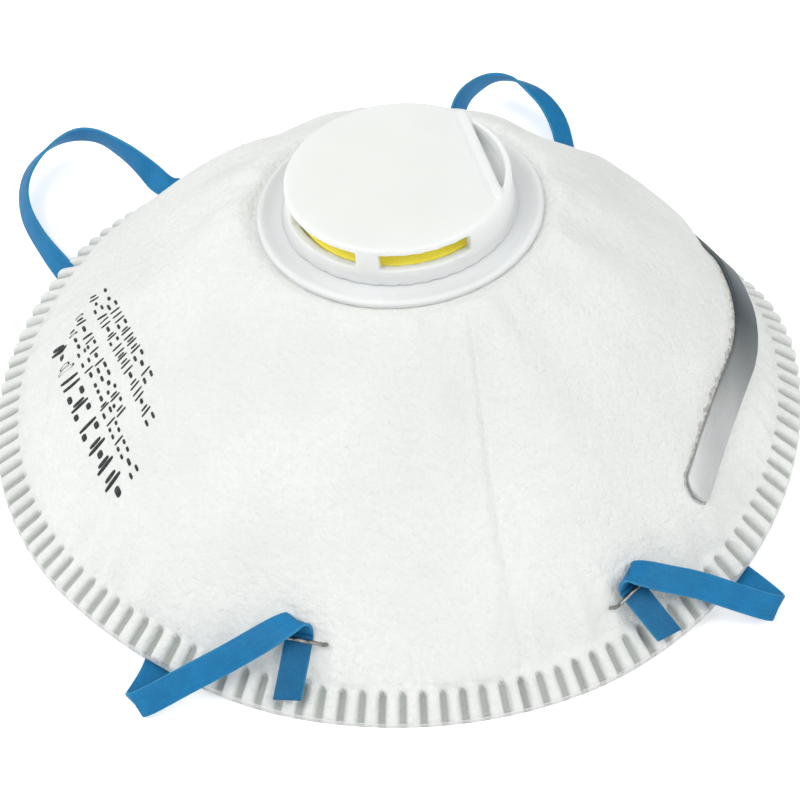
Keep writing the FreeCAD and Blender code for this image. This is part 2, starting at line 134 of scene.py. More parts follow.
UPPER_ROUTE = [
    (55.3, 29.8, 11.3), (54.9, 29.5, 12.5), (54.7, 30.1, 13.8), (55.4, 32.3, 13.8),
    (55.4, 35.9, 12.0), (54.9, 41.2, 9.3), (55.6, 47.3, 6.2), (56.8, 53.3, 3.8),
    (56.2, 55.2, 2.8), (52.2, 53.2, 2.2), (47.2, 50.2, 1.8), (40.0, 46.0, 1.0),
    (26.0, 41.0, 0.75), (4.0, 38.0, 0.75), (-20.0, 37.4, 0.75), (-42.0, 38.8, 0.9),
    (-57.0, 40.6, 1.7), (-66.6, 41.5, 2.2), (-74.4, 41.0, 3.2), (-80.3, 38.2, 4.6),
    (-84.0, 32.5, 6.4), (-79.3, 25.6, 8.6), (-71.0, 20.5, 10.4), (-63.0, 19.2, 9.4),
    (-58.6, 22.5, 10.8), (-56.4, 26.6, 12.8), (-54.9, 29.5, 12.5), (-55.3, 29.8, 11.3)]
# The direction across the flat band at some of the route's points, turned true to the path later.
LOWER_TURNS = {
    0: (0.37, 0.93, 0.0), 2.5: (0.82, 0.55, 0.13), 4: (0.83, 0.35, -0.43), 5: (0.66, 0.43, -0.59),
    7: (0.66, 0.43, -0.59), 8: (0.63, 0.54, -0.55), 9: (0.55, 0.75, -0.3), 10: (0.45, 0.86, -0.1),
    11: (0.3, 0.95, 0.0), 13: (-0.15, 0.98, 0.0), 14: (-0.25, 0.96, 0.1), 15: (-0.25, 0.7, 0.67),
    16: (-0.07, 0.35, 0.93), 17: (0.05, 0.38, 0.92), 18: (0.385, 0.54, 0.745), 18.6: (0.5, 0.45, 0.74),
    19: (0.62, 0.11, 0.78), 20: (0.23, -0.29, 0.93), 21: (-0.09, -0.02, 1.0), 22: (-0.2, 0.4, 0.89),
    23: (-0.51, 0.84, 0.19), 24: (-0.52, 0.83, 0.2), 25: (-0.8, 0.45, -0.3), 26: (-0.83, 0.4, -0.3),
    27.5: (-0.82, 0.55, 0.13), 29: (-0.37, 0.93, 0.0)}
UPPER_TURNS = {
    0: (0.62, -0.76, -0.16), 2.5: (0.89, -0.44, -0.11), 4: (0.77, -0.32, -0.54), 5: (0.64, -0.38, -0.67),
    7: (0.64, -0.38, -0.67), 8: (0.56, -0.57, -0.61), 9: (0.55, -0.7, -0.45), 10: (0.55, -0.8, -0.2),
    11: (0.55, -0.83, 0.0), 12: (0.2, -0.98, 0.0), 15: (0.0, -1.0, 0.1), 16: (-0.02, -0.9, 0.43),
    17: (0.02, -0.89, 0.46), 18: (0.28, -0.92, 0.27), 19: (0.686, -0.658, 0.309),
    19.6: (0.76, -0.2, 0.5), 20: (0.71, 0.265, 0.65), 21: (-0.07, 0.26, 0.96),
    22: (-0.18, -0.4, 0.9), 23: (-0.5, -0.7, 0.5), 24: (-0.77, -0.5, -0.2),
    25.5: (-0.89, -0.44, -0.11), 27: (-0.62, -0.76, -0.16)}


# ---- meshes ----------------------------------------------
def add_mesh(name, points, faces, material, attributes=None):
    """A smooth-shaded object from points in millimetres."""
    mesh = bpy.data.meshes.new(name)
    mesh.from_pydata((np.asarray(points, float) * MM).tolist(), [], faces)
    mesh.shade_smooth()
    mesh.materials.append(material)
    for key, values in (attributes or {}).items():
        layer = mesh.attributes.new(key, "FLOAT", "POINT")
        layer.data.foreach_set("value", np.asarray(values, np.float32))
    obj = bpy.data.objects.new(name, mesh)
    bpy.context.scene.collection.objects.link(obj)
    return obj


def ring_faces(first, first_count, second, second_count):
    """Faces between two closed rings; one may have twice the points of the other."""
    faces = []
    if first_count == second_count:
        for j in range(first_count):
            k = (j + 1) % first_count
            faces.append((first + j, first + k, second + k, second + j))
    elif first_count == 2 * second_count:
        for j in range(second_count):
            k = (j + 1) % second_count
            a, b, c = first + 2 * j, first + 2 * j + 1, first + 2 * k
            faces += [(a, b, second + j), (b, second + k, second + j), (b, c, second + k)]
    else:
        faces = [tuple(reversed(f)) for f in ring_faces(second, second_count, first, first_count)]
    return faces


def closed_rings(rings):
    """Points and faces of a solid ring made of closed rings of points, the last joined to the first."""
    starts = np.cumsum([0] + [len(r) for r in rings])
    faces = []
    for i, ring in enumerate(rings):
        after = (i + 1) % len(rings)
        faces += ring_faces(int(starts[i]), len(ring), int(starts[after]), len(rings[after]))
    return np.concatenate(rings), faces


def loft(sections):
    """Points and faces of a capped solid through closed sections of equal length."""
    sections = np.asarray(sections, float)
    count, around = sections.shape[:2]
    faces = []
    for i in range(count - 1):
        faces += ring_faces((i + 1) * around, around, i * around, around)
    faces.append(tuple(range(around)))
    faces.append(tuple(reversed(range((count - 1) * around, count * around))))
    return sections.reshape(-1, 3), faces


def rounded_slab(half_width, low, high, radius, steps=3):
    """Outline of a flat strip's section with round corners, as (across, height) pairs."""
    outline = []
    side = half_width - radius
    for cx, cy, start in ((side, high - radius, 0), (-side, high - radius, 90),
                          (-side, low + radius, 180), (side, low + radius, -90)):
        for k in range(steps + 1):
            a = math.radians(start + 90 * k / steps)
            outline.append((cx + radius * math.cos(a), cy + radius * math.sin(a)))
    return np.array(outline)


def smooth_step(x):
    """0 below 0, 1 above 1, and smooth between."""
    x = np.clip(x, 0, 1)
    return x * x * (3 - 2 * x)


def waves(rng, count, around, along, low, high):
    """Smooth noise, periodic round the cup, from cosines of mixed direction.

    The result is a function of the bearing and of the distance s up the slope.
    """
    turns = rng.integers(around[0], around[1], count)
    rates = rng.uniform(along[0], along[1], count)
    phases = rng.uniform(0, 2 * math.pi, count)
    sizes = rng.uniform(low, high, count) / math.sqrt(count)

    def value(bearing, s):
        total = 0.0
        for n, rate, phase, size in zip(turns, rates, phases, sizes):
            total = total + size * np.cos(n * np.radians(bearing) + rate * s + phase)
        return total
    return value


# ---- the cup's surface -----------------------------------
def cup_edge(bearing):
    """Radius and height of the rim's outer edge."""
    c = np.cos(np.radians(bearing))
    radius = RIM_RADIUS - RIM_CHIN_GROWTH * c
    rise = np.maximum(0.0, (c - NOSE_LIFT_STARTS) / (1 - NOSE_LIFT_STARTS))
    height = RIM_EDGE_HEIGHT + NOSE_LIFT * rise ** 2 * (1 + c) / 2
    off = (np.abs((bearing + 180) % 360 - 180) - BAND_GAP_BEARING) / BAND_GAP_SPREAD
    return radius, height + BAND_GAP_LIFT * np.exp(-off * off)


def seat_height(radius, bearing):
    """Height of the tilted crown that the valve sits on."""
    return CROWN_HEIGHT + math.tan(math.radians(CROWN_TILT)) * radius * np.cos(np.radians(bearing))


def outline(bearing):
    """Control points of the outer profile at each bearing: radii and heights, (stations, bearings)."""
    edge_r, edge_z = cup_edge(bearing)
    root_r, root_z = edge_r - RIM_WIDTH, edge_z + RIM_DROP
    points = [(edge_r, edge_z), (edge_r - RIM_WIDTH * 0.35, edge_z + RIM_DROP * 0.35),
              (edge_r - RIM_WIDTH * 0.75, edge_z + RIM_DROP * 0.72), (root_r, root_z)]
    top_z = seat_height(CROWN_RADIUS, bearing) + WELD_RING_RISE
    for u in WALL_STATIONS:
        climb = WALL_STRAIGHTNESS * (1 - u) + (1 - WALL_STRAIGHTNESS) * (1 - u ** WALL_BULGE_POWER)
        points.append((CROWN_RADIUS + (root_r - CROWN_RADIUS) * u, root_z + (top_z - root_z) * climb))
    ring_top = CROWN_RADIUS - 1.1
    points.append((ring_top + 0 * bearing, seat_height(ring_top, bearing) + WELD_RING_RISE))
    for r in (SEAT_RADIUS + 0.3, SEAT_RADIUS - 0.6, 21.5, 19.0, VALVE_HOLE_RADIUS):
        points.append((r + 0 * bearing, seat_height(r, bearing)))
    return np.array([p[0] for p in points]), np.array([p[1] for p in points])


def offset_outline(bearing, depth):
    """The outline moved inwards; the rim's stations move less, as its layers are pressed."""
    r, z = outline(bearing)
    if depth == 0:
        return r, z
    pressed = RIM_THICKNESS / SHELL_DEPTHS[1]
    share = np.array([pressed] * 3 + [(1 + pressed) / 2] + [1.0] * (STATIONS - 4))[:, None]
    dr = np.concatenate([r[1:2] - r[0:1], r[2:] - r[:-2], r[-1:] - r[-2:-1]])
    dz = np.concatenate([z[1:2] - z[0:1], z[2:] - z[:-2], z[-1:] - z[-2:-1]])
    length = np.hypot(dr, dz)
    move_r, move_z = -depth * share * dz / length, depth * share * dr / length
    move_r[:2], move_z[:2] = 0.0, -depth * pressed
    return r + move_r, np.maximum(z + move_z, 0.0)


def spline_weights(count, at):
    """Weights of a clamped cubic spline's control points at each parameter."""
    knots = np.concatenate([np.zeros(3), np.arange(count - 2), np.full(3, count - 3)])
    at = np.clip(at, 0, count - 3 - 1e-9)[:, None]
    weights = ((knots[:-1] <= at) & (at < knots[1:])).astype(float)
    for degree in (1, 2, 3):
        span = knots[degree:] - knots[:-degree]
        rise = np.where(span[:-1] > 0, (at - knots[:-degree - 1]) / np.maximum(span[:-1], 1e-9), 0)
        fall = np.where(span[1:] > 0, (knots[degree + 1:] - at) / np.maximum(span[1:], 1e-9), 0)
        weights = rise * weights[:, :-1] + fall * weights[:, 1:]
    return weights


rng = np.random.default_rng(SEED)
dents = waves(rng, 18, (2, 18), (-0.24, 0.24), 0.35, 0.75)
puckers = waves(rng, 16, (30, 90), (-0.08, 0.08), 0.2, 0.45)
ring_puckers = waves(rng, 12, (9, 44), (-0.5, 0.5), 0.08, 0.2)
tooth_shift = rng.normal(0, 0.022, TEETH)
tooth_depth = rng.uniform(0.75, 1.15, TEETH)


def crimp(bearing, from_edge):
    """Height of the crimped teeth over the plain flange, and how deep in a groove each point is."""
    place = bearing * TEETH / 360
    tooth = np.round(place).astype(int) % TEETH
    off = (place - np.round(place)) - tooth_shift[tooth]
    end = GROOVE_LENGTH - GROOVE_END_ROUNDING * (off / GROOVE_SHARE) ** 2
    along = smooth_step((end - from_edge) / 0.45)
    inside = smooth_step((GROOVE_SHARE + GROOVE_WALL / 2 - np.abs(off)) / GROOVE_WALL) * along
    across = np.clip((0.5 - np.abs(off)) / (0.5 - GROOVE_SHARE), 0, 1)
    pad = (1 - across ** 2.5) * smooth_step((GROOVE_LENGTH + 0.9 - from_edge) / 1.6)
    pad = pad * (0.35 + 0.65 * smooth_step(from_edge / 0.9))
    depth = tooth_depth[tooth]
    height = PAD_PUFF * pad * (1 - inside) * depth - GROOVE_DEPTH * inside * depth
    return height, inside


def creases(bearing, radius):
    """Creases down the front, along the chin side's shoulder, at the rim and down the chin side."""
    def valley(distance, depth, width):
        return -depth * np.exp(-(distance / width) ** 2)

    def ridge(distance, height, width):
        return height * np.exp(-(distance / width) ** 2)

    def off_line(line):
        return np.radians(bearing - line) * radius

    front_line = 81.0 - 6.0 * np.clip((67.0 - radius) / 41.0, 0, 1) ** 2 + 0.5 * np.sin(radius / 6.0)
    front = off_line(front_line)
    step = -0.8 * np.exp(-np.abs(front) / 3.2) * smooth_step(0.5 - front / 0.9)
    total = smooth_step((radius - 25.0) / 3.0) * (step + ridge(front, 0.16, 0.5))

    shoulder = radius - (66.8 - 0.27 * (bearing - 158.0))
    reach = smooth_step((bearing - 154.0) / 8.0) * smooth_step((208.0 - bearing) / 10.0)
    total = total + reach * (valley(shoulder, 0.3, 1.0) + ridge(shoulder + 2.2, 0.22, 1.4))

    total = total + smooth_step((radius - 62.0) / 3.0) * valley(off_line(153.0), 0.25, 0.7)
    chin_line = 196.0 - 0.9 * (radius - 40.0)
    reach = smooth_step((radius - 36.0) / 5.0) * smooth_step((60.0 - radius) / 6.0)
    return total + reach * valley(off_line(chin_line), 0.16, 0.9)


def far_side(bearing, radius, from_edge):
    """The cup's lasting distortion on its far side: how far it stands out, and how far it is pulled in.

    The wall bellies out, a fold beside the nose ends in a trough that holds the clip's far half, and
    the rim is pulled in there.
    """
    belly = smooth_step((bearing - 200.0) / 35.0) * smooth_step((338.0 - bearing) / 34.0)
    out = 1.5 * belly * smooth_step((radius - 30.0) / 10.0) * smooth_step((66.0 - radius) / 16.0)
    fold = smooth_step((bearing - 306.0) / 14.0) * smooth_step((354.0 - bearing) / 12.0)
    out = out + 0.9 * fold * np.exp(-((radius - 54.6) / 2.2) ** 2)
    trough = smooth_step((radius - 55.6) / 1.8) * smooth_step((66.0 - radius) / 4.0)
    beside_nose = np.exp(-((bearing - 335.0) / 14.0) ** 2)
    pull = 3.9 * beside_nose * smooth_step((13.0 - from_edge) / 10.0)
    return out - 1.3 * fold * trough, pull


def clip_offset(x, y):
    """Distance of a plan position from the nose clip's middle line, and how far along a leg it is."""
    bend = math.radians(CLIP_BEND_HALF_ANGLE)
    side, ahead = np.abs(x), y - CLIP_BEND_CENTRE_Y
    leg = side * math.cos(bend) - ahead * math.sin(bend)
    off = np.where(leg > 0, side * math.sin(bend) + ahead * math.cos(bend), np.hypot(side, ahead))
    return off - CLIP_BEND_RADIUS, leg


def relief(u, bearing, radius, from_edge):
    """The crimp's height, the web's dents and creases along its normal, and the groove mask."""
    teeth, inside = crimp(bearing, from_edge)
    wall = smooth_step((u - 1.6) / 1.0) * smooth_step((U_RING + 1.0 - u) / 1.0)
    slope_length = np.clip(from_edge, 0, None)
    a = np.radians(bearing)
    off, run = clip_offset(radius * np.sin(a), radius * np.cos(a))
    under_clip = smooth_step((5.5 - np.abs(off)) / 3.0) * smooth_step((CLIP_LEG + 5.0 - run) / 3.0)
    soft = dents(bearing, slope_length) * wall
    near_rim = np.exp(-((from_edge - 6.5) / 4.5) ** 2)
    near_ring = np.exp(-((radius - 28.5) / 3.0) ** 2)
    soft = soft + puckers(bearing, slope_length) * near_rim * wall
    soft = soft + ring_puckers(bearing, radius) * near_ring * smooth_step((radius - 24.5) / 1.5)
    soft = soft * (1 - 0.9 * under_clip)
    return teeth, soft + creases(bearing, radius) * wall, inside


def cup_points(u, bearing, depth):
    """Points of one layer's face: u (rows), bearing (columns), depth below the outer face."""
    u, bearing = np.asarray(u, float), np.asarray(bearing, float)
    weights = spline_weights(STATIONS, u)
    ahead = spline_weights(STATIONS, np.minimum(u + 0.02, U_END - 1e-6))
    behind = spline_weights(STATIONS, np.maximum(u - 0.02, 0))
    control_r, control_z = offset_outline(bearing, depth)
    r, z = weights @ control_r, weights @ control_z
    dr, dz = (ahead - behind) @ control_r, (ahead - behind) @ control_z
    length = np.hypot(dr, dz)
    normal_r, normal_z = dz / length, -dr / length
    edge_r, _ = cup_edge(bearing)
    outer_r, _ = outline(bearing)
    from_edge = edge_r[None] - weights @ outer_r
    grid_u, grid_b = np.broadcast_to(u[:, None], r.shape), np.broadcast_to(bearing[None], r.shape)
    teeth, soft, inside = relief(grid_u, grid_b, r, from_edge)
    through = depth / SHELL_DEPTHS[1]
    out, pull = far_side(grid_b, r, from_edge)
    lift = soft + out + teeth * (1 - through) ** 1.3
    r, z = r + normal_r * lift - pull, z + normal_z * lift - 0.3 * pull
    a = np.radians(grid_b)
    return np.stack([r * np.sin(a), r * np.cos(a), np.maximum(z, 0.0)], -1), inside


def even_rows(u_from, u_to, spacing):
    """Parameters between two stations that lie evenly along the profile at the side of the cup."""
    fine = np.linspace(u_from, u_to, 600)
    r, z = [spline_weights(STATIONS, fine) @ c[:, 0] for c in outline(np.array([90.0]))]
    run = np.concatenate([[0], np.cumsum(np.hypot(np.diff(r), np.diff(z)))])
    count = max(2, round(run[-1] / spacing))
    return np.interp(np.linspace(0, run[-1], count + 1), run, fine)


COLUMNS = TEETH * COLUMNS_PER_TOOTH
FINE_BEARINGS = np.arange(COLUMNS) * 360.0 / COLUMNS
COARSE_BEARINGS = FINE_BEARINGS[::2]


def make_layer(name, depths, spacing, material):
    """One web of the cup as a closed solid: fine over the crimped rim, coarser up the wall."""
    fine = list(even_rows(0.0, U_WALL, spacing[0]))
    coarse = list(even_rows(U_WALL, U_RING, spacing[1])[1:])
    coarse += list(even_rows(U_RING, U_SEAT, spacing[2])[1:])
    coarse += list(even_rows(U_SEAT, U_END, SEAT_SPACING)[1:])
    rings, groove = [], []
    for rows, bearings, depth in ((fine, FINE_BEARINGS, depths[0]), (coarse, COARSE_BEARINGS, depths[0]),
                                  (coarse[::-1], COARSE_BEARINGS, depths[1]),
                                  (fine[::-1], FINE_BEARINGS, depths[1])):
        points, inside = cup_points(rows, bearings, depth)
        rings += list(points)
        groove += list(inside)
    points, faces = closed_rings(rings)
    # The groove mask is kept for the material, which paints the grooves greyer and paints the shade that
    # falls in them.
    return add_mesh(name, points, faces, material, {"pressed": np.concatenate(groove)})


def on_cup(x, y, lift):
    """Points lifted off the cover above plan positions (x, y)."""
    x, y, lift = np.broadcast_arrays(np.asarray(x, float), np.asarray(y, float), np.asarray(lift, float))
    bearing = np.degrees(np.arctan2(x, y)).ravel() % 360
    radius = np.hypot(x, y).ravel()
    fine = np.linspace(0.0, U_END - 1e-6, 400)
    weights = spline_weights(STATIONS, fine)
    control_r, _ = outline(bearing)
    u = np.array([np.interp(-r, -(weights @ control_r[:, k]), fine) for k, r in enumerate(radius)])
    points = np.empty((len(u), 3))
    for k, (at, b, h) in enumerate(zip(u, bearing, lift.ravel())):
        place = cup_points([at - 0.03, at, at + 0.03], [b - 0.4, b, b + 0.4], 0.0)[0]
        normal = np.cross(place[1, 2] - place[1, 0], place[2, 1] - place[0, 1])
        normal /= np.linalg.norm(normal)
        if normal[2] < 0:
            normal = -normal
        points[k] = place[1, 1] + normal * h
    return points.reshape(x.shape + (3,))


# ---- materials -------------------------------------------
class Surface:
    """A node material: a Principled shader and short calls that add the nodes behind it."""

    def __init__(self, name, **sockets):
        self.material = bpy.data.materials.new(name)
        self.material.use_nodes = True
        self.tree = self.material.node_tree
        self.shader = self.tree.nodes["Principled BSDF"]
        for key, value in sockets.items():
            self.shader.inputs[key.replace("_", " ")].default_value = value
        self.coords = self.tree.nodes.new("ShaderNodeTexCoord").outputs["Object"]

    def node(self, kind, settings=None, **inputs):
        node = self.tree.nodes.new(kind)
        for key, value in (settings or {}).items():
            setattr(node, key, value)
        for key, value in inputs.items():
            socket = node.inputs[int(key[1:])] if key[0] == "_" else node.inputs[key]
            if isinstance(value, bpy.types.NodeSocket):
                self.tree.links.new(value, socket)
            else:
                socket.default_value = value
        return node

    def stretched(self, x, y, z, source=None):
        """Coordinates scaled along each axis, in cells per metre."""
        return self.node("ShaderNodeMapping", Vector=source or self.coords, Scale=(x, y, z)).outputs[0]

    def noise(self, scale, detail=3.0, rough=0.55, source=None):
        return self.node("ShaderNodeTexNoise", Vector=source or self.coords, Scale=scale, Detail=detail,
                         Roughness=rough).outputs["Fac"]

    def attribute(self, name):
        return self.node("ShaderNodeAttribute", {"attribute_name": name}).outputs["Fac"]

    def ramp(self, value, low, high, to_low=0.0, to_high=1.0):
        node = self.node("ShaderNodeMapRange", Value=value)
        limits = {"From Min": low, "From Max": high, "To Min": to_low, "To Max": to_high}
        for key, number in limits.items():
            node.inputs[key].default_value = number
        return node.outputs[0]

    def mix(self, factor, first, second):
        node = self.node("ShaderNodeMix", {"data_type": "RGBA"})
        sockets = node.inputs[0], node.inputs[6], node.inputs[7]
        for socket, value in zip(sockets, (factor, first, second)):
            if isinstance(value, bpy.types.NodeSocket):
                self.tree.links.new(value, socket)
            else:
                socket.default_value = value if isinstance(value, float) else (*value, 1.0)
        return node.outputs[2]

    def maths(self, operation, first, second):
        return self.node("ShaderNodeMath", {"operation": operation}, _0=first, _1=second).outputs[0]

    def bump(self, height, distance, strength=1.0, under=None):
        inputs = {"Height": height, "Distance": distance, "Strength": strength}
        if under is not None:
            inputs["Normal"] = under
        return self.node("ShaderNodeBump", **inputs).outputs[0]

    def drive(self, socket, value):
        self.tree.links.new(value, self.shader.inputs[socket])


def web_material(name, light, dark, pressed, grain=1.0):
    """White spunbonded web with crepe, fibres and faint lay lines; the pressed grooves are painted
    greyer, partly for their thinner web and partly as painted shade in the grooves.
    """
    s = Surface(name, Sheen_Weight=0.25, Sheen_Roughness=0.6)
    crepe = s.noise(700.0, 4.0, 0.6)
    fibre = s.noise(1.0, 2.0, 0.5, s.stretched(5200.0, 5200.0, 1500.0))
    lay = s.noise(1.0, 2.0, 0.5, s.stretched(1500.0, 1500.0, 90.0))
    cloud = s.noise(45.0, 3.0, 0.5)
    tone = s.mix(s.ramp(cloud, 0.35, 0.65), dark, light)
    tone = s.mix(s.ramp(lay, 0.35, 0.75, 0.0, 0.6), tone, dark)
    tone = s.mix(s.ramp(crepe, 0.42, 0.62, 0.0, 0.35), tone, dark)
    # The groove mask paints the grooves greyer: partly for the thinner pressed web, partly as painted
    # shade in the grooves.
    groove = s.maths("MULTIPLY", s.attribute("pressed"), s.ramp(fibre, 0.2, 0.8, 0.8, 1.0))
    s.drive("Base Color", s.mix(groove, tone, pressed))
    s.drive("Roughness", s.ramp(crepe, 0.3, 0.7, 0.82, 0.95))
    under = s.bump(crepe, 0.0006 * grain, 0.9)
    under = s.bump(lay, 0.00016 * grain, 0.6, under)
    s.drive("Normal", s.bump(fibre, 0.00005 * grain, 0.6, under))
    return s.material


def plastic_material(name, colour, roughness):
    """Satin moulded polypropylene with faint flow clouds and a fine skin."""
    s = Surface(name, IOR=1.49)
    s.shader.inputs["Subsurface Weight"].default_value = 0.5
    s.shader.inputs["Subsurface Radius"].default_value = (1.0, 1.0, 0.9)
    s.shader.inputs["Subsurface Scale"].default_value = 0.003
    cloud = s.noise(90.0, 3.0)
    skin = s.noise(2600.0, 2.0)
    s.drive("Base Color", s.mix(s.ramp(cloud, 0.3, 0.7), tuple(c * 0.975 for c in colour), colour))
    s.drive("Roughness", s.ramp(cloud, 0.3, 0.7, roughness - 0.04, roughness + 0.05))
    s.drive("Normal", s.bump(skin, 0.00001, 0.35))
    return s.material


def rubber_material():
    """Yellow rubber with a faint glow of its own, painted light that lifts it in the valve's shade."""
    # Painted light: the emission makes the flap glow a little, though it is no lamp.
    s = Surface("flap_rubber", IOR=1.5, Emission_Strength=0.22)
    s.shader.inputs["Emission Color"].default_value = (0.9, 0.78, 0.08, 1.0)
    cloud = s.noise(260.0, 3.0)
    s.drive("Base Color", s.mix(s.ramp(cloud, 0.3, 0.7), (0.88, 0.74, 0.06), (0.95, 0.84, 0.12)))
    s.drive("Roughness", s.ramp(cloud, 0.3, 0.7, 0.42, 0.58))
    s.drive("Normal", s.bump(s.noise(1800.0, 2.0), 0.00002, 0.4))
    return s.material


def metal_material():
    """Soft rolled strip, brushed along its length, with dull patches, and its bend over the nose painted
    dark as a reflection of a dark surround.
    """
    s = Surface("nose_metal", Metallic=1.0)
    s.shader.inputs["Anisotropic"].default_value = 0.5
    line = s.node("ShaderNodeCombineXYZ", X=s.attribute("along"), Y=s.attribute("across")).outputs[0]
    brushed = s.noise(1.0, 3.0, 0.6, s.stretched(0.35, 14.0, 1.0, line))
    cross = s.noise(1.0, 2.0, 0.5, s.stretched(5.0, 1.2, 1.0, line))
    cloud = s.noise(150.0, 3.0)
    tone = s.mix(s.ramp(brushed, 0.3, 0.7), (0.43, 0.445, 0.44), (0.55, 0.56, 0.55))
    tone = s.mix(s.ramp(cloud, 0.45, 0.75, 0.0, 0.4), tone, (0.45, 0.47, 0.5))
    # Painted reflection: the colour darkens towards the bend over the nose, standing for the dark
    # surround that the metal mirrors there.
    from_nose = s.maths("ABSOLUTE", s.attribute("along"), 0.0)
    s.drive("Base Color", s.mix(s.ramp(from_nose, 7.0, 30.0, 0.9, 0.0), tone, (0.055, 0.08, 0.095)))
    s.drive("Roughness", s.ramp(brushed, 0.25, 0.75, 0.42, 0.56))
    under = s.bump(brushed, 0.00003, 0.6)
    s.drive("Normal", s.bump(cross, 0.00003, 0.35, under))
    return s.material


def glue_material():
    """A grey, fuzzy strip in place of the adhesive, a little wider than the clip and ragged at its inner
    side, that draws a dark line along the clip's edges.
    """
    s = Surface("adhesive", Roughness=0.6)
    cloud = s.noise(1500.0, 3.0)
    s.drive("Base Color", s.mix(s.ramp(cloud, 0.35, 0.65), (0.34, 0.335, 0.32), (0.66, 0.655, 0.63)))
    s.drive("Normal", s.bump(cloud, 0.00008, 0.8))
    return s.material


def foam_material():
    """Grey open-cell foam."""
    s = Surface("foam", Roughness=0.95, Sheen_Weight=0.3)
    cells = s.node("ShaderNodeTexVoronoi", Vector=s.coords, Scale=1500.0).outputs["Distance"]
    cloud = s.noise(120.0, 2.0)
    tone = s.mix(s.ramp(cloud, 0.3, 0.7), (0.50, 0.51, 0.51), (0.60, 0.61, 0.60))
    s.drive("Base Color", s.mix(s.ramp(cells, 0.1, 0.6), (0.26, 0.27, 0.27), tone))
    s.drive("Normal", s.bump(cells, 0.0003, 0.9))
    return s.material


def wire_material():
    """Dull steel wire with darker patches."""
    s = Surface("staple_wire", Metallic=1.0)
    cloud = s.noise(900.0, 3.0)
    s.drive("Base Color", s.mix(s.ramp(cloud, 0.35, 0.65), (0.12, 0.12, 0.115), (0.42, 0.41, 0.39)))
    s.drive("Roughness", s.ramp(cloud, 0.3, 0.7, 0.24, 0.42))
    s.drive("Normal", s.bump(s.noise(3000.0, 2.0), 0.00002, 0.5))
    return s.material


def elastic_material(name, shade):
    """Blue flat elastic: speckled grain, fine ribs across, worn paler along the edges; a shade below one
    darkens it all as painted shade.
    """
    s = Surface(name, Sheen_Weight=0.1, Sheen_Roughness=0.35, Specular_IOR_Level=0.3)
    s.shader.inputs["Sheen Tint"].default_value = (0.35, 0.75, 0.95, 1.0)
    speckle = s.noise(4200.0, 3.0, 0.7)
    cloud = s.noise(220.0, 2.0)
    line = s.node("ShaderNodeCombineXYZ", X=s.attribute("along"), Y=s.attribute("across")).outputs[0]
    ribs = s.noise(1.0, 2.0, 0.5, s.stretched(3.6, 0.5, 1.0, line))
    threads = s.noise(1.0, 2.0, 0.5, s.stretched(0.25, 3.4, 1.0, line))
    # shade scales the blue: below one it paints the shade that the band's free ends show.
    tone = s.mix(s.ramp(cloud, 0.3, 0.7), tuple(c * shade for c in (0.0010, 0.135, 0.325)),
                 tuple(c * shade for c in (0.002, 0.175, 0.40)))
    tone = s.mix(s.ramp(speckle, 0.5, 0.72, 0.0, 0.45), tone, (0.03, 0.28, 0.46))
    tone = s.mix(s.ramp(threads, 0.45, 0.75, 0.0, 0.3), tone, (0.001, 0.08, 0.22))
    edge = s.ramp(s.maths("ABSOLUTE", s.attribute("across"), 0.0), 2.0, 2.25, 0.0, 0.35)
    s.drive("Base Color", s.mix(edge, tone, (0.06, 0.34, 0.50)))
    s.drive("Roughness", s.ramp(speckle, 0.3, 0.7, 0.52, 0.72))
    under = s.bump(ribs, 0.00006, 0.6)
    under = s.bump(threads, 0.00004, 0.5, under)
    s.drive("Normal", s.bump(speckle, 0.00004, 0.7, under))
    return s.material


def ink_material():
    """Black ink, worn in places."""
    s = Surface("ink", Roughness=0.7)
    cloud = s.noise(1600.0, 3.0, 0.6)
    worn = s.ramp(cloud, 0.5, 0.8, 0.0, 0.5)
    s.drive("Base Color", s.mix(worn, (0.012, 0.012, 0.014), (0.16, 0.16, 0.16)))
    s.drive("Normal", s.bump(cloud, 0.00005, 0.5))
    return s.material


# ---- pieces on the cup -----------------------------------
def clip_line(distance, offset):
    """Plan position along the nose clip's middle line, counted from the nose."""
    bend = math.radians(CLIP_BEND_HALF_ANGLE)
    side = np.where(distance < 0, -1.0, 1.0)
    run = np.abs(distance)
    arc = CLIP_BEND_RADIUS * bend
    angle = np.minimum(run, arc) / CLIP_BEND_RADIUS
    leg = np.maximum(run - arc, 0.0)
    r = CLIP_BEND_RADIUS + offset + FAR_CLIP_SHIFT * smooth_step(-distance / 25.0)
    x = r * np.sin(angle) + leg * math.cos(bend)
    y = CLIP_BEND_CENTRE_Y + r * np.cos(angle) - leg * math.sin(bend)
    return side * x, y


def make_clip_strip(name, half_width, low, high, radius, material, ragged=0.0):
    """A strip on the cover along the clip's line, with round ends."""
    half_length = CLIP_BEND_RADIUS * math.radians(CLIP_BEND_HALF_ANGLE) + CLIP_LEG
    turn = np.linspace(-math.pi / 2, 0, 9)
    cap = half_width * np.sin(turn)
    middle = np.linspace(-half_length, half_length, 90)
    stations = np.concatenate([-half_length + cap[:-1], middle, half_length - cap[::-1][1:]])
    widths = np.concatenate([half_width * np.cos(turn[:-1]), np.full(len(middle), half_width),
                             half_width * np.cos(turn[::-1][1:])])
    widths = np.maximum(widths, 0.12)
    random = np.random.default_rng(SEED + 3)
    sections, along, across = [], [], []
    for at, width in zip(stations, widths):
        slab = rounded_slab(width, low, high, min(radius, width * 0.6))
        inner = ragged * random.uniform(0.0, 1.0) ** 2
        outer = ragged * 0.35 * random.uniform(0.0, 1.0)
        offset = slab[:, 0] + np.where(slab[:, 0] < 0, -inner, outer)
        x, y = clip_line(np.full(len(slab), at), offset)
        sections.append(on_cup(x, y, slab[:, 1]))
        along += [at] * len(slab)
        across += list(offset)
    points, faces = loft(sections)
    return add_mesh(name, points, faces, material, {"along": along, "across": across})


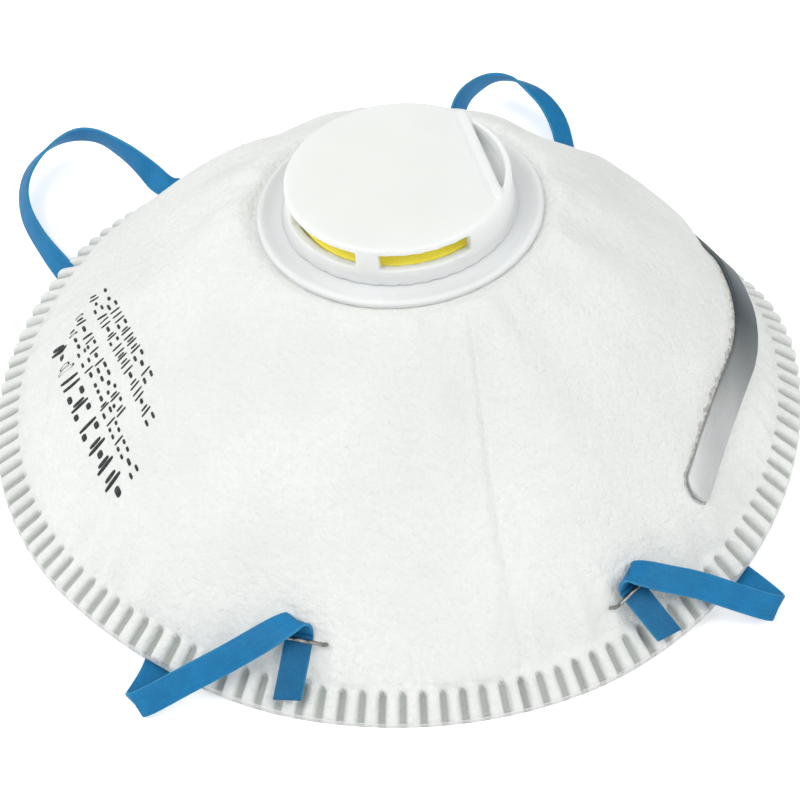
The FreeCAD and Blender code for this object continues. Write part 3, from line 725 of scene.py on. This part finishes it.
def make_foam(material):
    """The nose pad under the shell, crowned and slightly uneven."""
    random = np.random.default_rng(SEED + 5)
    middle = (FOAM_INNER_RADIUS + FOAM_OUTER_RADIUS) / 2
    half_width = (FOAM_OUTER_RADIUS - FOAM_INNER_RADIUS) / 2
    sections = []
    for angle in np.linspace(-FOAM_HALF_ANGLE, FOAM_HALF_ANGLE, 64):
        into_end = max(0.0, (abs(angle) - (FOAM_HALF_ANGLE - FOAM_TAPER_ANGLE)) / FOAM_TAPER_ANGLE)
        taper = max(0.15, math.sqrt(max(0.0, 1 - into_end ** 2)))
        section = []
        for k in range(20):
            t = 2 * math.pi * k / 20
            across = math.copysign(abs(math.cos(t)) ** FOAM_CROWNING, math.cos(t))
            height = math.copysign(abs(math.sin(t)) ** FOAM_CROWNING, math.sin(t))
            depth = SHELL_DEPTHS[1] + FOAM_GAP + FOAM_THICKNESS / 2 * (1 + taper * height)
            depth += random.normal(0, 0.05) if height > 0 else 0.0
            section.append((middle + half_width * taper * across, depth))
        r, depth = np.array(section).T
        a = math.radians(angle)
        sections.append(on_cup(r * math.sin(a), r * math.cos(a), -depth)[::-1])
    points, faces = loft(sections)
    return add_mesh("foam", points, faces, material)


# Each row: radius, first and last bearing, half the row's height, width of a stroke.
PRINT_ROWS = ((45.9, 162, 195, 0.85, 0.42), (48.1, 151, 195, 0.85, 0.4), (51.4, 160, 192, 0.85, 0.44),
              (53.3, 149, 189, 0.8, 0.4), (56.5, 149, 188, 1.5, 0.75))
PRINT_MIDDLE = 165.0             # a row lies nearest to the valve at this bearing
PRINT_CURL = 0.0065
PRINT_UNDERSIDE, PRINT_TOP = -0.05, 0.06
STROKE_PROFILE = ((0.0, 0.3), (0.06, 0.7), (0.2, 1.0), (0.5, 1.0), (0.8, 1.0), (0.94, 0.7), (1.0, 0.3))
LETTER_GAP, WORD_GAP = 0.45, 1.0


def make_print(material):
    """Rows of plain strokes where such a mask has its marking; they stand for no text."""
    random = np.random.default_rng(SEED + 9)
    points, faces = [], []

    def stroke(bearing, radius, wide, tall):
        """One dash: wide along the row, tall across it, with blunt round ends."""
        sections = []
        for share, scale in STROKE_PROFILE:
            slab = rounded_slab(tall / 2 * scale, PRINT_UNDERSIDE, PRINT_TOP, 0.01, 1)
            b = bearing + math.degrees((share - 0.5) * wide / radius)
            r = radius + PRINT_CURL * (b - PRINT_MIDDLE) ** 2 + slab[:, 0]
            a = math.radians(b)
            sections.append(on_cup(r * math.sin(a), r * math.cos(a), slab[:, 1]))
        more, sides = loft(sections)
        faces.extend(tuple(i + len(points) for i in face) for face in sides)
        points.extend(more)

    for radius, start, end, half, width in PRINT_ROWS:
        at = float(end)
        while at > start:
            kind = random.integers(0, 4)
            cell = random.uniform(1.1, 1.9) * (1.5 if half > 1 else 1.0)
            middle = at - math.degrees(cell / 2 / radius)
            if kind == 0:
                stroke(middle, radius, width, 2 * half)
                cell = 0.6 * cell
            elif kind == 1:
                stroke(middle, radius + half * 0.75, cell * 0.8, width)
                stroke(middle, radius - half * 0.75, cell * 0.8, width)
            elif kind == 2:
                stroke(middle, radius, cell * 0.8, width * 1.2)
            else:
                shift = math.degrees(cell * 0.25 / radius)
                stroke(middle - shift, radius, width, 2 * half)
                stroke(middle + shift, radius, width, 1.3 * half)
            if random.random() < 0.12:
                cell += WORD_GAP
            at -= math.degrees((cell + LETTER_GAP) / radius)
    return add_mesh("print_dashes", np.array(points), faces, material)


# ---- valve -----------------------------------------------
def softened(node, name, voxel, passes, material):
    """A copy of a CAD piece with its edges rounded as moulded ones are."""
    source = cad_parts[node]
    obj = bpy.data.objects.new(name, source.data.copy())
    bpy.context.scene.collection.objects.link(obj)
    remesh = obj.modifiers.new("remesh", "REMESH")
    remesh.mode = "VOXEL"
    remesh.voxel_size = voxel * MM
    smooth = obj.modifiers.new("smooth", "SMOOTH")
    smooth.factor = 0.5
    smooth.iterations = passes
    graph = bpy.context.evaluated_depsgraph_get()
    mesh = bpy.data.meshes.new_from_object(obj.evaluated_get(graph))
    obj.modifiers.clear()
    obj.data = mesh
    mesh.materials.clear()
    mesh.materials.append(material)
    mesh.shade_smooth()
    return obj


# ---- bands and staples -----------------------------------
def route_line(name, route):
    """Points along the smooth line that a headband follows, in millimetres."""
    curve = bpy.data.curves.new(name + "_route", "CURVE")
    curve.dimensions = "3D"
    spline = curve.splines.new("NURBS")
    spline.points.add(len(route) - 1)
    for point, place in zip(spline.points, route):
        point.co = (*[v * MM for v in place], 1.0)
    spline.order_u = 3
    spline.use_endpoint_u = True
    spline.resolution_u = 24
    holder = bpy.data.objects.new(name + "_route", curve)
    bpy.context.scene.collection.objects.link(holder)
    mesh = bpy.data.meshes.new_from_object(holder)
    line = np.array([v.co[:] for v in mesh.vertices]) / MM
    bpy.data.objects.remove(holder)
    return line


def unit(v):
    """Vectors scaled to length one."""
    return v / np.linalg.norm(v, axis=-1, keepdims=True)


def make_ribbon(name, route, turns, material):
    """A flat elastic along its route, turned across as its keys say."""
    line = route_line(name, route)
    run = np.concatenate([[0], np.cumsum(np.linalg.norm(np.diff(line, axis=0), axis=1))])
    stations = np.linspace(0, run[-1], 520)
    path = np.stack([np.interp(stations, run, line[:, k]) for k in range(3)], -1)
    tangent = unit(np.gradient(path, axis=0))
    nearest = [float(run[np.argmin(np.linalg.norm(line - np.array(p), axis=1))]) for p in route]
    keys = sorted(turns)
    places = np.interp(keys, range(len(route)), nearest)
    across = [np.interp(stations, places, [turns[k][axis] for k in keys]) for axis in range(3)]
    kernel = np.hanning(15) / np.hanning(15).sum()
    padded = np.pad(np.stack(across, -1), ((7, 7), (0, 0)), mode="edge")
    across = np.stack([np.convolve(padded[:, k], kernel, "valid") for k in range(3)], -1)
    across = unit(across - tangent * np.sum(across * tangent, -1, keepdims=True))
    normal = np.cross(tangent, across)
    slab = rounded_slab(BAND_WIDTH / 2, -BAND_THICKNESS / 2, BAND_THICKNESS / 2, BAND_CORNER)
    sections = path[:, None] + across[:, None] * slab[None, :, :1] + normal[:, None] * slab[None, :, 1:]
    sections[..., 2] = np.maximum(sections[..., 2], FLOOR_CLEARANCE)
    points, faces = loft(sections)
    attributes = {"along": np.repeat(stations, len(slab)),
                  "across": np.tile(slab[:, 0], len(stations))}
    obj = add_mesh(name, points, faces, material, attributes)
    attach(obj, "mask")
    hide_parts(name)
    return obj


def clamp_frame(side, name):
    """Point, down-tail, along-wire and outward directions of one stapled end."""
    bearing, radius, tail_bearing = CLAMPS[name]
    b, t = math.radians(bearing), math.radians(tail_bearing)
    profile_r, profile_z = outline(np.array([bearing]))
    height = np.interp(-radius, -profile_r[:, 0], profile_z[:, 0])
    spot = np.array([radius * math.sin(b), radius * math.cos(b), height])
    edge_r, edge_z = cup_edge(np.array([tail_bearing]))
    end = np.array([edge_r[0] * math.sin(t), edge_r[0] * math.cos(t), edge_z[0] + TAIL_END_RISE])
    down = unit(end - spot)
    tangent = np.array([math.cos(b), -math.sin(b), 0.0])
    tangent = unit(tangent - down * (tangent @ down))
    normal = np.cross(tangent, down)
    if normal[2] < 0:
        normal = -normal
    mirror = np.array([side, 1.0, 1.0])
    return [v * mirror for v in (spot + normal * END_CLEARANCE, down, tangent, normal)]


def make_tail(name, side, material, slant):
    """A free end of the band, cut on a slant and lying from under the staple to the rim."""
    spot, down, tangent, normal = clamp_frame(side, name)
    slab = rounded_slab(BAND_WIDTH / 2, 0.0, BAND_THICKNESS, BAND_CORNER)
    sections, along, across = [], [], []
    for share in np.linspace(0, 1, 26):
        at = -TAIL_ABOVE + (TAIL_BELOW + TAIL_ABOVE - TAIL_END_GAP) * share
        cut = slant * slab[:, 0] * share ** 6
        droop = TAIL_CURL * share ** 2
        sections.append(spot + down * (at + cut)[:, None] + tangent * slab[:, :1]
                        + normal * (slab[:, 1:] + droop))
        along += [at] * len(slab)
        across += list(slab[:, 0])
    points, faces = loft(sections)
    if side < 0:
        faces = [tuple(reversed(f)) for f in faces]
    label = "%s_band_tail_%s" % (name, "near" if side > 0 else "far")
    return add_mesh(label, points, faces, material,
                    {"along": along, "across": across})


def make_staple(name, side, material):
    """Bent wire: crown over the band, round shoulders, legs through the cup, clinched tips."""
    spot, _, tangent, normal = clamp_frame(side, name)
    crown = spot + normal * (BAND_THICKNESS + STAPLE_WIRE / 2)
    half = STAPLE_CROWN / 2
    corners = [crown - tangent * (half - STAPLE_CLINCH) - normal * STAPLE_REACH,
               crown - tangent * half - normal * STAPLE_REACH, crown - tangent * half,
               crown + tangent * half, crown + tangent * half - normal * STAPLE_REACH,
               crown + tangent * (half - STAPLE_CLINCH) - normal * STAPLE_REACH]
    path = [corners[0]]
    for before, corner, after in zip(corners, corners[1:], corners[2:]):
        back, on = unit(before - corner), unit(after - corner)
        for share in np.linspace(0, 1, 7):
            path.append(corner + STAPLE_BEND * (back * (1 - share) ** 2 + on * share ** 2))
    path.append(corners[-1])
    path = np.array(path)
    direction = unit(np.gradient(path, axis=0))
    side_way = unit(np.cross(normal, tangent))
    angles = np.linspace(0, 2 * math.pi, 12, endpoint=False)[:, None]
    sections = []
    for place, way in zip(path, direction):
        other = unit(np.cross(way, side_way))
        sections.append(place + STAPLE_WIRE / 2 * (np.cos(angles) * side_way + np.sin(angles) * other))
    points, faces = loft(sections)
    label = "%s_staple_%s" % (name, "near" if side > 0 else "far")
    return add_mesh(label, points, faces, material)


# ---- building --------------------------------------------
# Each web's pressed colour is its grooves' colour: greyer for the thinner pressed web, and darker still
# as painted shade in the grooves.
web = web_material("cover_web", light=(0.81, 0.82, 0.795), dark=(0.73, 0.745, 0.72),
                   pressed=(0.36, 0.385, 0.355))
filter_web = web_material("filter_media", light=(0.84, 0.84, 0.83), dark=(0.78, 0.78, 0.77),
                          pressed=(0.7, 0.7, 0.7))
shell_web = web_material("moulded_shell", light=(0.76, 0.765, 0.75), dark=(0.70, 0.705, 0.69),
                         pressed=(0.6, 0.61, 0.59), grain=1.4)
plastic = plastic_material("valve_plastic", colour=(0.775, 0.795, 0.785), roughness=0.48)
elastic = elastic_material("headband_elastic", shade=1.0)
# The band's free ends get a darker copy of the same elastic: painted shade.
shaded_tail_elastic = elastic_material("headband_end_elastic_shaded", shade=0.72)

cover = make_layer("outer_cover_web", COVER_DEPTHS, COVER_SPACING, web)
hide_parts("outer_cover")
filter_piece = make_layer("filter_web", FILTER_DEPTHS, FILTER_SPACING, filter_web)
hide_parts("filter_layer")
shell = make_layer("inner_shell_web", SHELL_DEPTHS, SHELL_SPACING, shell_web)
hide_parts("inner_shell")
clip = make_clip_strip("clip_strip", CLIP_PLAN_WIDTH / 2, CLIP_UNDERSIDE, CLIP_TOP, 0.14,
                       metal_material())
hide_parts("nose_clip")
glue = make_clip_strip("clip_glue", CLIP_PLAN_WIDTH / 2 + GLUE_MARGIN, GLUE_UNDERSIDE, GLUE_TOP, 0.05,
                       glue_material(), ragged=GLUE_RAGGEDNESS)
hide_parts("clip_adhesive")
foam = make_foam(foam_material())
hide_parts("nose_foam")
pieces = [cover, filter_piece, shell, clip, glue, foam, make_print(ink_material())]

seat = softened("valve_seat", "seat_ring", voxel=0.22, passes=4, material=plastic)
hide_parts("valve_seat")
cap = softened("valve_cap", "cap", voxel=0.212, passes=6, material=plastic)
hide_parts("valve_cap")
pieces += [seat, cap]
flap = softened("valve_diaphragm", "flap_disc", voxel=0.2, passes=2, material=rubber_material())
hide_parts("valve_diaphragm")
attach(flap, "flap")

wire = wire_material()
for name, slant in TAIL_SLANTS.items():
    for side in (1, -1):
        tail = make_tail(name, side, shaded_tail_elastic, slant)
        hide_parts(name + "_band_ends")
        staple = make_staple(name, side, wire)
        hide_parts("staples")
        pieces += [tail, staple]
for piece in pieces:
    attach(piece, "mask")
make_ribbon("lower_headband", LOWER_ROUTE, LOWER_TURNS, elastic)
make_ribbon("upper_headband", UPPER_ROUTE, UPPER_TURNS, elastic)


# ---- stage, light and camera -----------------------------
FLOOR_RADIUS = 2600
FLOOR_HEIGHT = -0.05
LIGHTS_AIM = (0, 0, 0.02)


def add_floor():
    """White paper, lifted a little by its own light so that it burns out as a studio sweep does."""
    s = Surface("floor_paper", Roughness=0.9, Emission_Strength=0.34)
    s.shader.inputs["Emission Color"].default_value = (1.0, 1.0, 1.0, 1.0)
    s.drive("Base Color", s.mix(s.noise(6.0, 2.0), (0.93, 0.93, 0.93), (0.95, 0.95, 0.95)))
    a = np.radians(range(0, 360, 5))
    around = np.stack([FLOOR_RADIUS * np.sin(a), FLOOR_RADIUS * np.cos(a), FLOOR_HEIGHT + 0 * a], -1)
    mesh = bpy.data.meshes.new("floor")
    mesh.from_pydata((around * MM).tolist(), [], [tuple(reversed(range(len(around))))])
    mesh.materials.append(s.material)
    floor = bpy.data.objects.new("floor", mesh)
    bpy.context.scene.collection.objects.link(floor)


def add_area(name, place, size, watts):
    light = bpy.data.lights.new(name, "AREA")
    light.shape = "DISK"
    light.size = size
    light.energy = watts
    obj = bpy.data.objects.new(name, light)
    obj.location = place
    obj.rotation_euler = (Vector(LIGHTS_AIM) - Vector(place)).to_track_quat("-Z", "Y").to_euler()
    bpy.context.scene.collection.objects.link(obj)


def add_sky():
    """White studio surround, darker near the horizon and behind the nose, where the metal mirrors it."""
    world = bpy.data.worlds.new("studio")
    bpy.context.scene.world = world
    world.use_nodes = True
    tree = world.node_tree
    coords = tree.nodes.new("ShaderNodeTexCoord")
    split = tree.nodes.new("ShaderNodeSeparateXYZ")
    ramp = tree.nodes.new("ShaderNodeValToRGB")
    tree.links.new(coords.outputs["Generated"], split.inputs[0])
    tree.links.new(split.outputs["Z"], ramp.inputs[0])
    ramp.color_ramp.elements[0].position = 0.05
    ramp.color_ramp.elements[0].color = (0.25, 0.28, 0.32, 1.0)
    ramp.color_ramp.elements[1].position = 0.55
    ramp.color_ramp.elements[1].color = (1.0, 1.0, 1.0, 1.0)
    towards_dark = tree.nodes.new("ShaderNodeVectorMath")
    towards_dark.operation = "DOT_PRODUCT"
    tree.links.new(coords.outputs["Generated"], towards_dark.inputs[0])
    towards_dark.inputs[1].default_value = (-0.69, 0.71, 0.12)
    fade = tree.nodes.new("ShaderNodeMapRange")
    fade.interpolation_type = "SMOOTHSTEP"
    tree.links.new(towards_dark.outputs["Value"], fade.inputs["Value"])
    for socket, value in (("From Min", 0.72), ("From Max", 0.93), ("To Min", 1.0), ("To Max", 0.06)):
        fade.inputs[socket].default_value = value
    shaded = tree.nodes.new("ShaderNodeVectorMath")
    shaded.operation = "SCALE"
    tree.links.new(ramp.outputs[0], shaded.inputs[0])
    tree.links.new(fade.outputs[0], shaded.inputs["Scale"])
    background = tree.nodes["Background"]
    tree.links.new(shaded.outputs[0], background.inputs["Color"])
    background.inputs["Strength"].default_value = 0.66


def add_camera():
    """Looks down across the cup from the wearer's left, slightly towards the chin."""
    azimuth, elevation, roll = math.radians(82.79), math.radians(45.65), math.radians(0.13)
    distance, aim = 0.4, Vector((0.0, 0.0, 0.001))
    back = Vector((math.sin(azimuth) * math.cos(elevation), -math.cos(azimuth) * math.cos(elevation),
                   math.sin(elevation)))
    right = Vector((math.cos(azimuth), math.sin(azimuth), 0.0))
    up = back.cross(right)
    c, s = math.cos(roll), math.sin(roll)
    right, up = right * c + up * s, up * c - right * s
    data = bpy.data.cameras.new("camera")
    data.lens = 100.83
    data.sensor_width = 36.0
    data.clip_start = 0.01
    camera = bpy.data.objects.new("camera", data)
    turn = Matrix((right, up, back)).transposed().to_4x4()
    camera.matrix_world = Matrix.Translation(aim + back * distance) @ turn
    bpy.context.scene.collection.objects.link(camera)
    bpy.context.scene.camera = camera


add_floor()
add_area("key", (0.35, -0.75, 0.95), 0.8, 6.3)
add_area("fill", (0.35, 0.85, 0.85), 0.9, 6.0)
add_area("back", (-0.55, -0.8, 0.6), 0.7, 2.0)
add_sky()
add_camera()
bpy.context.scene.view_settings.view_transform = "Standard"
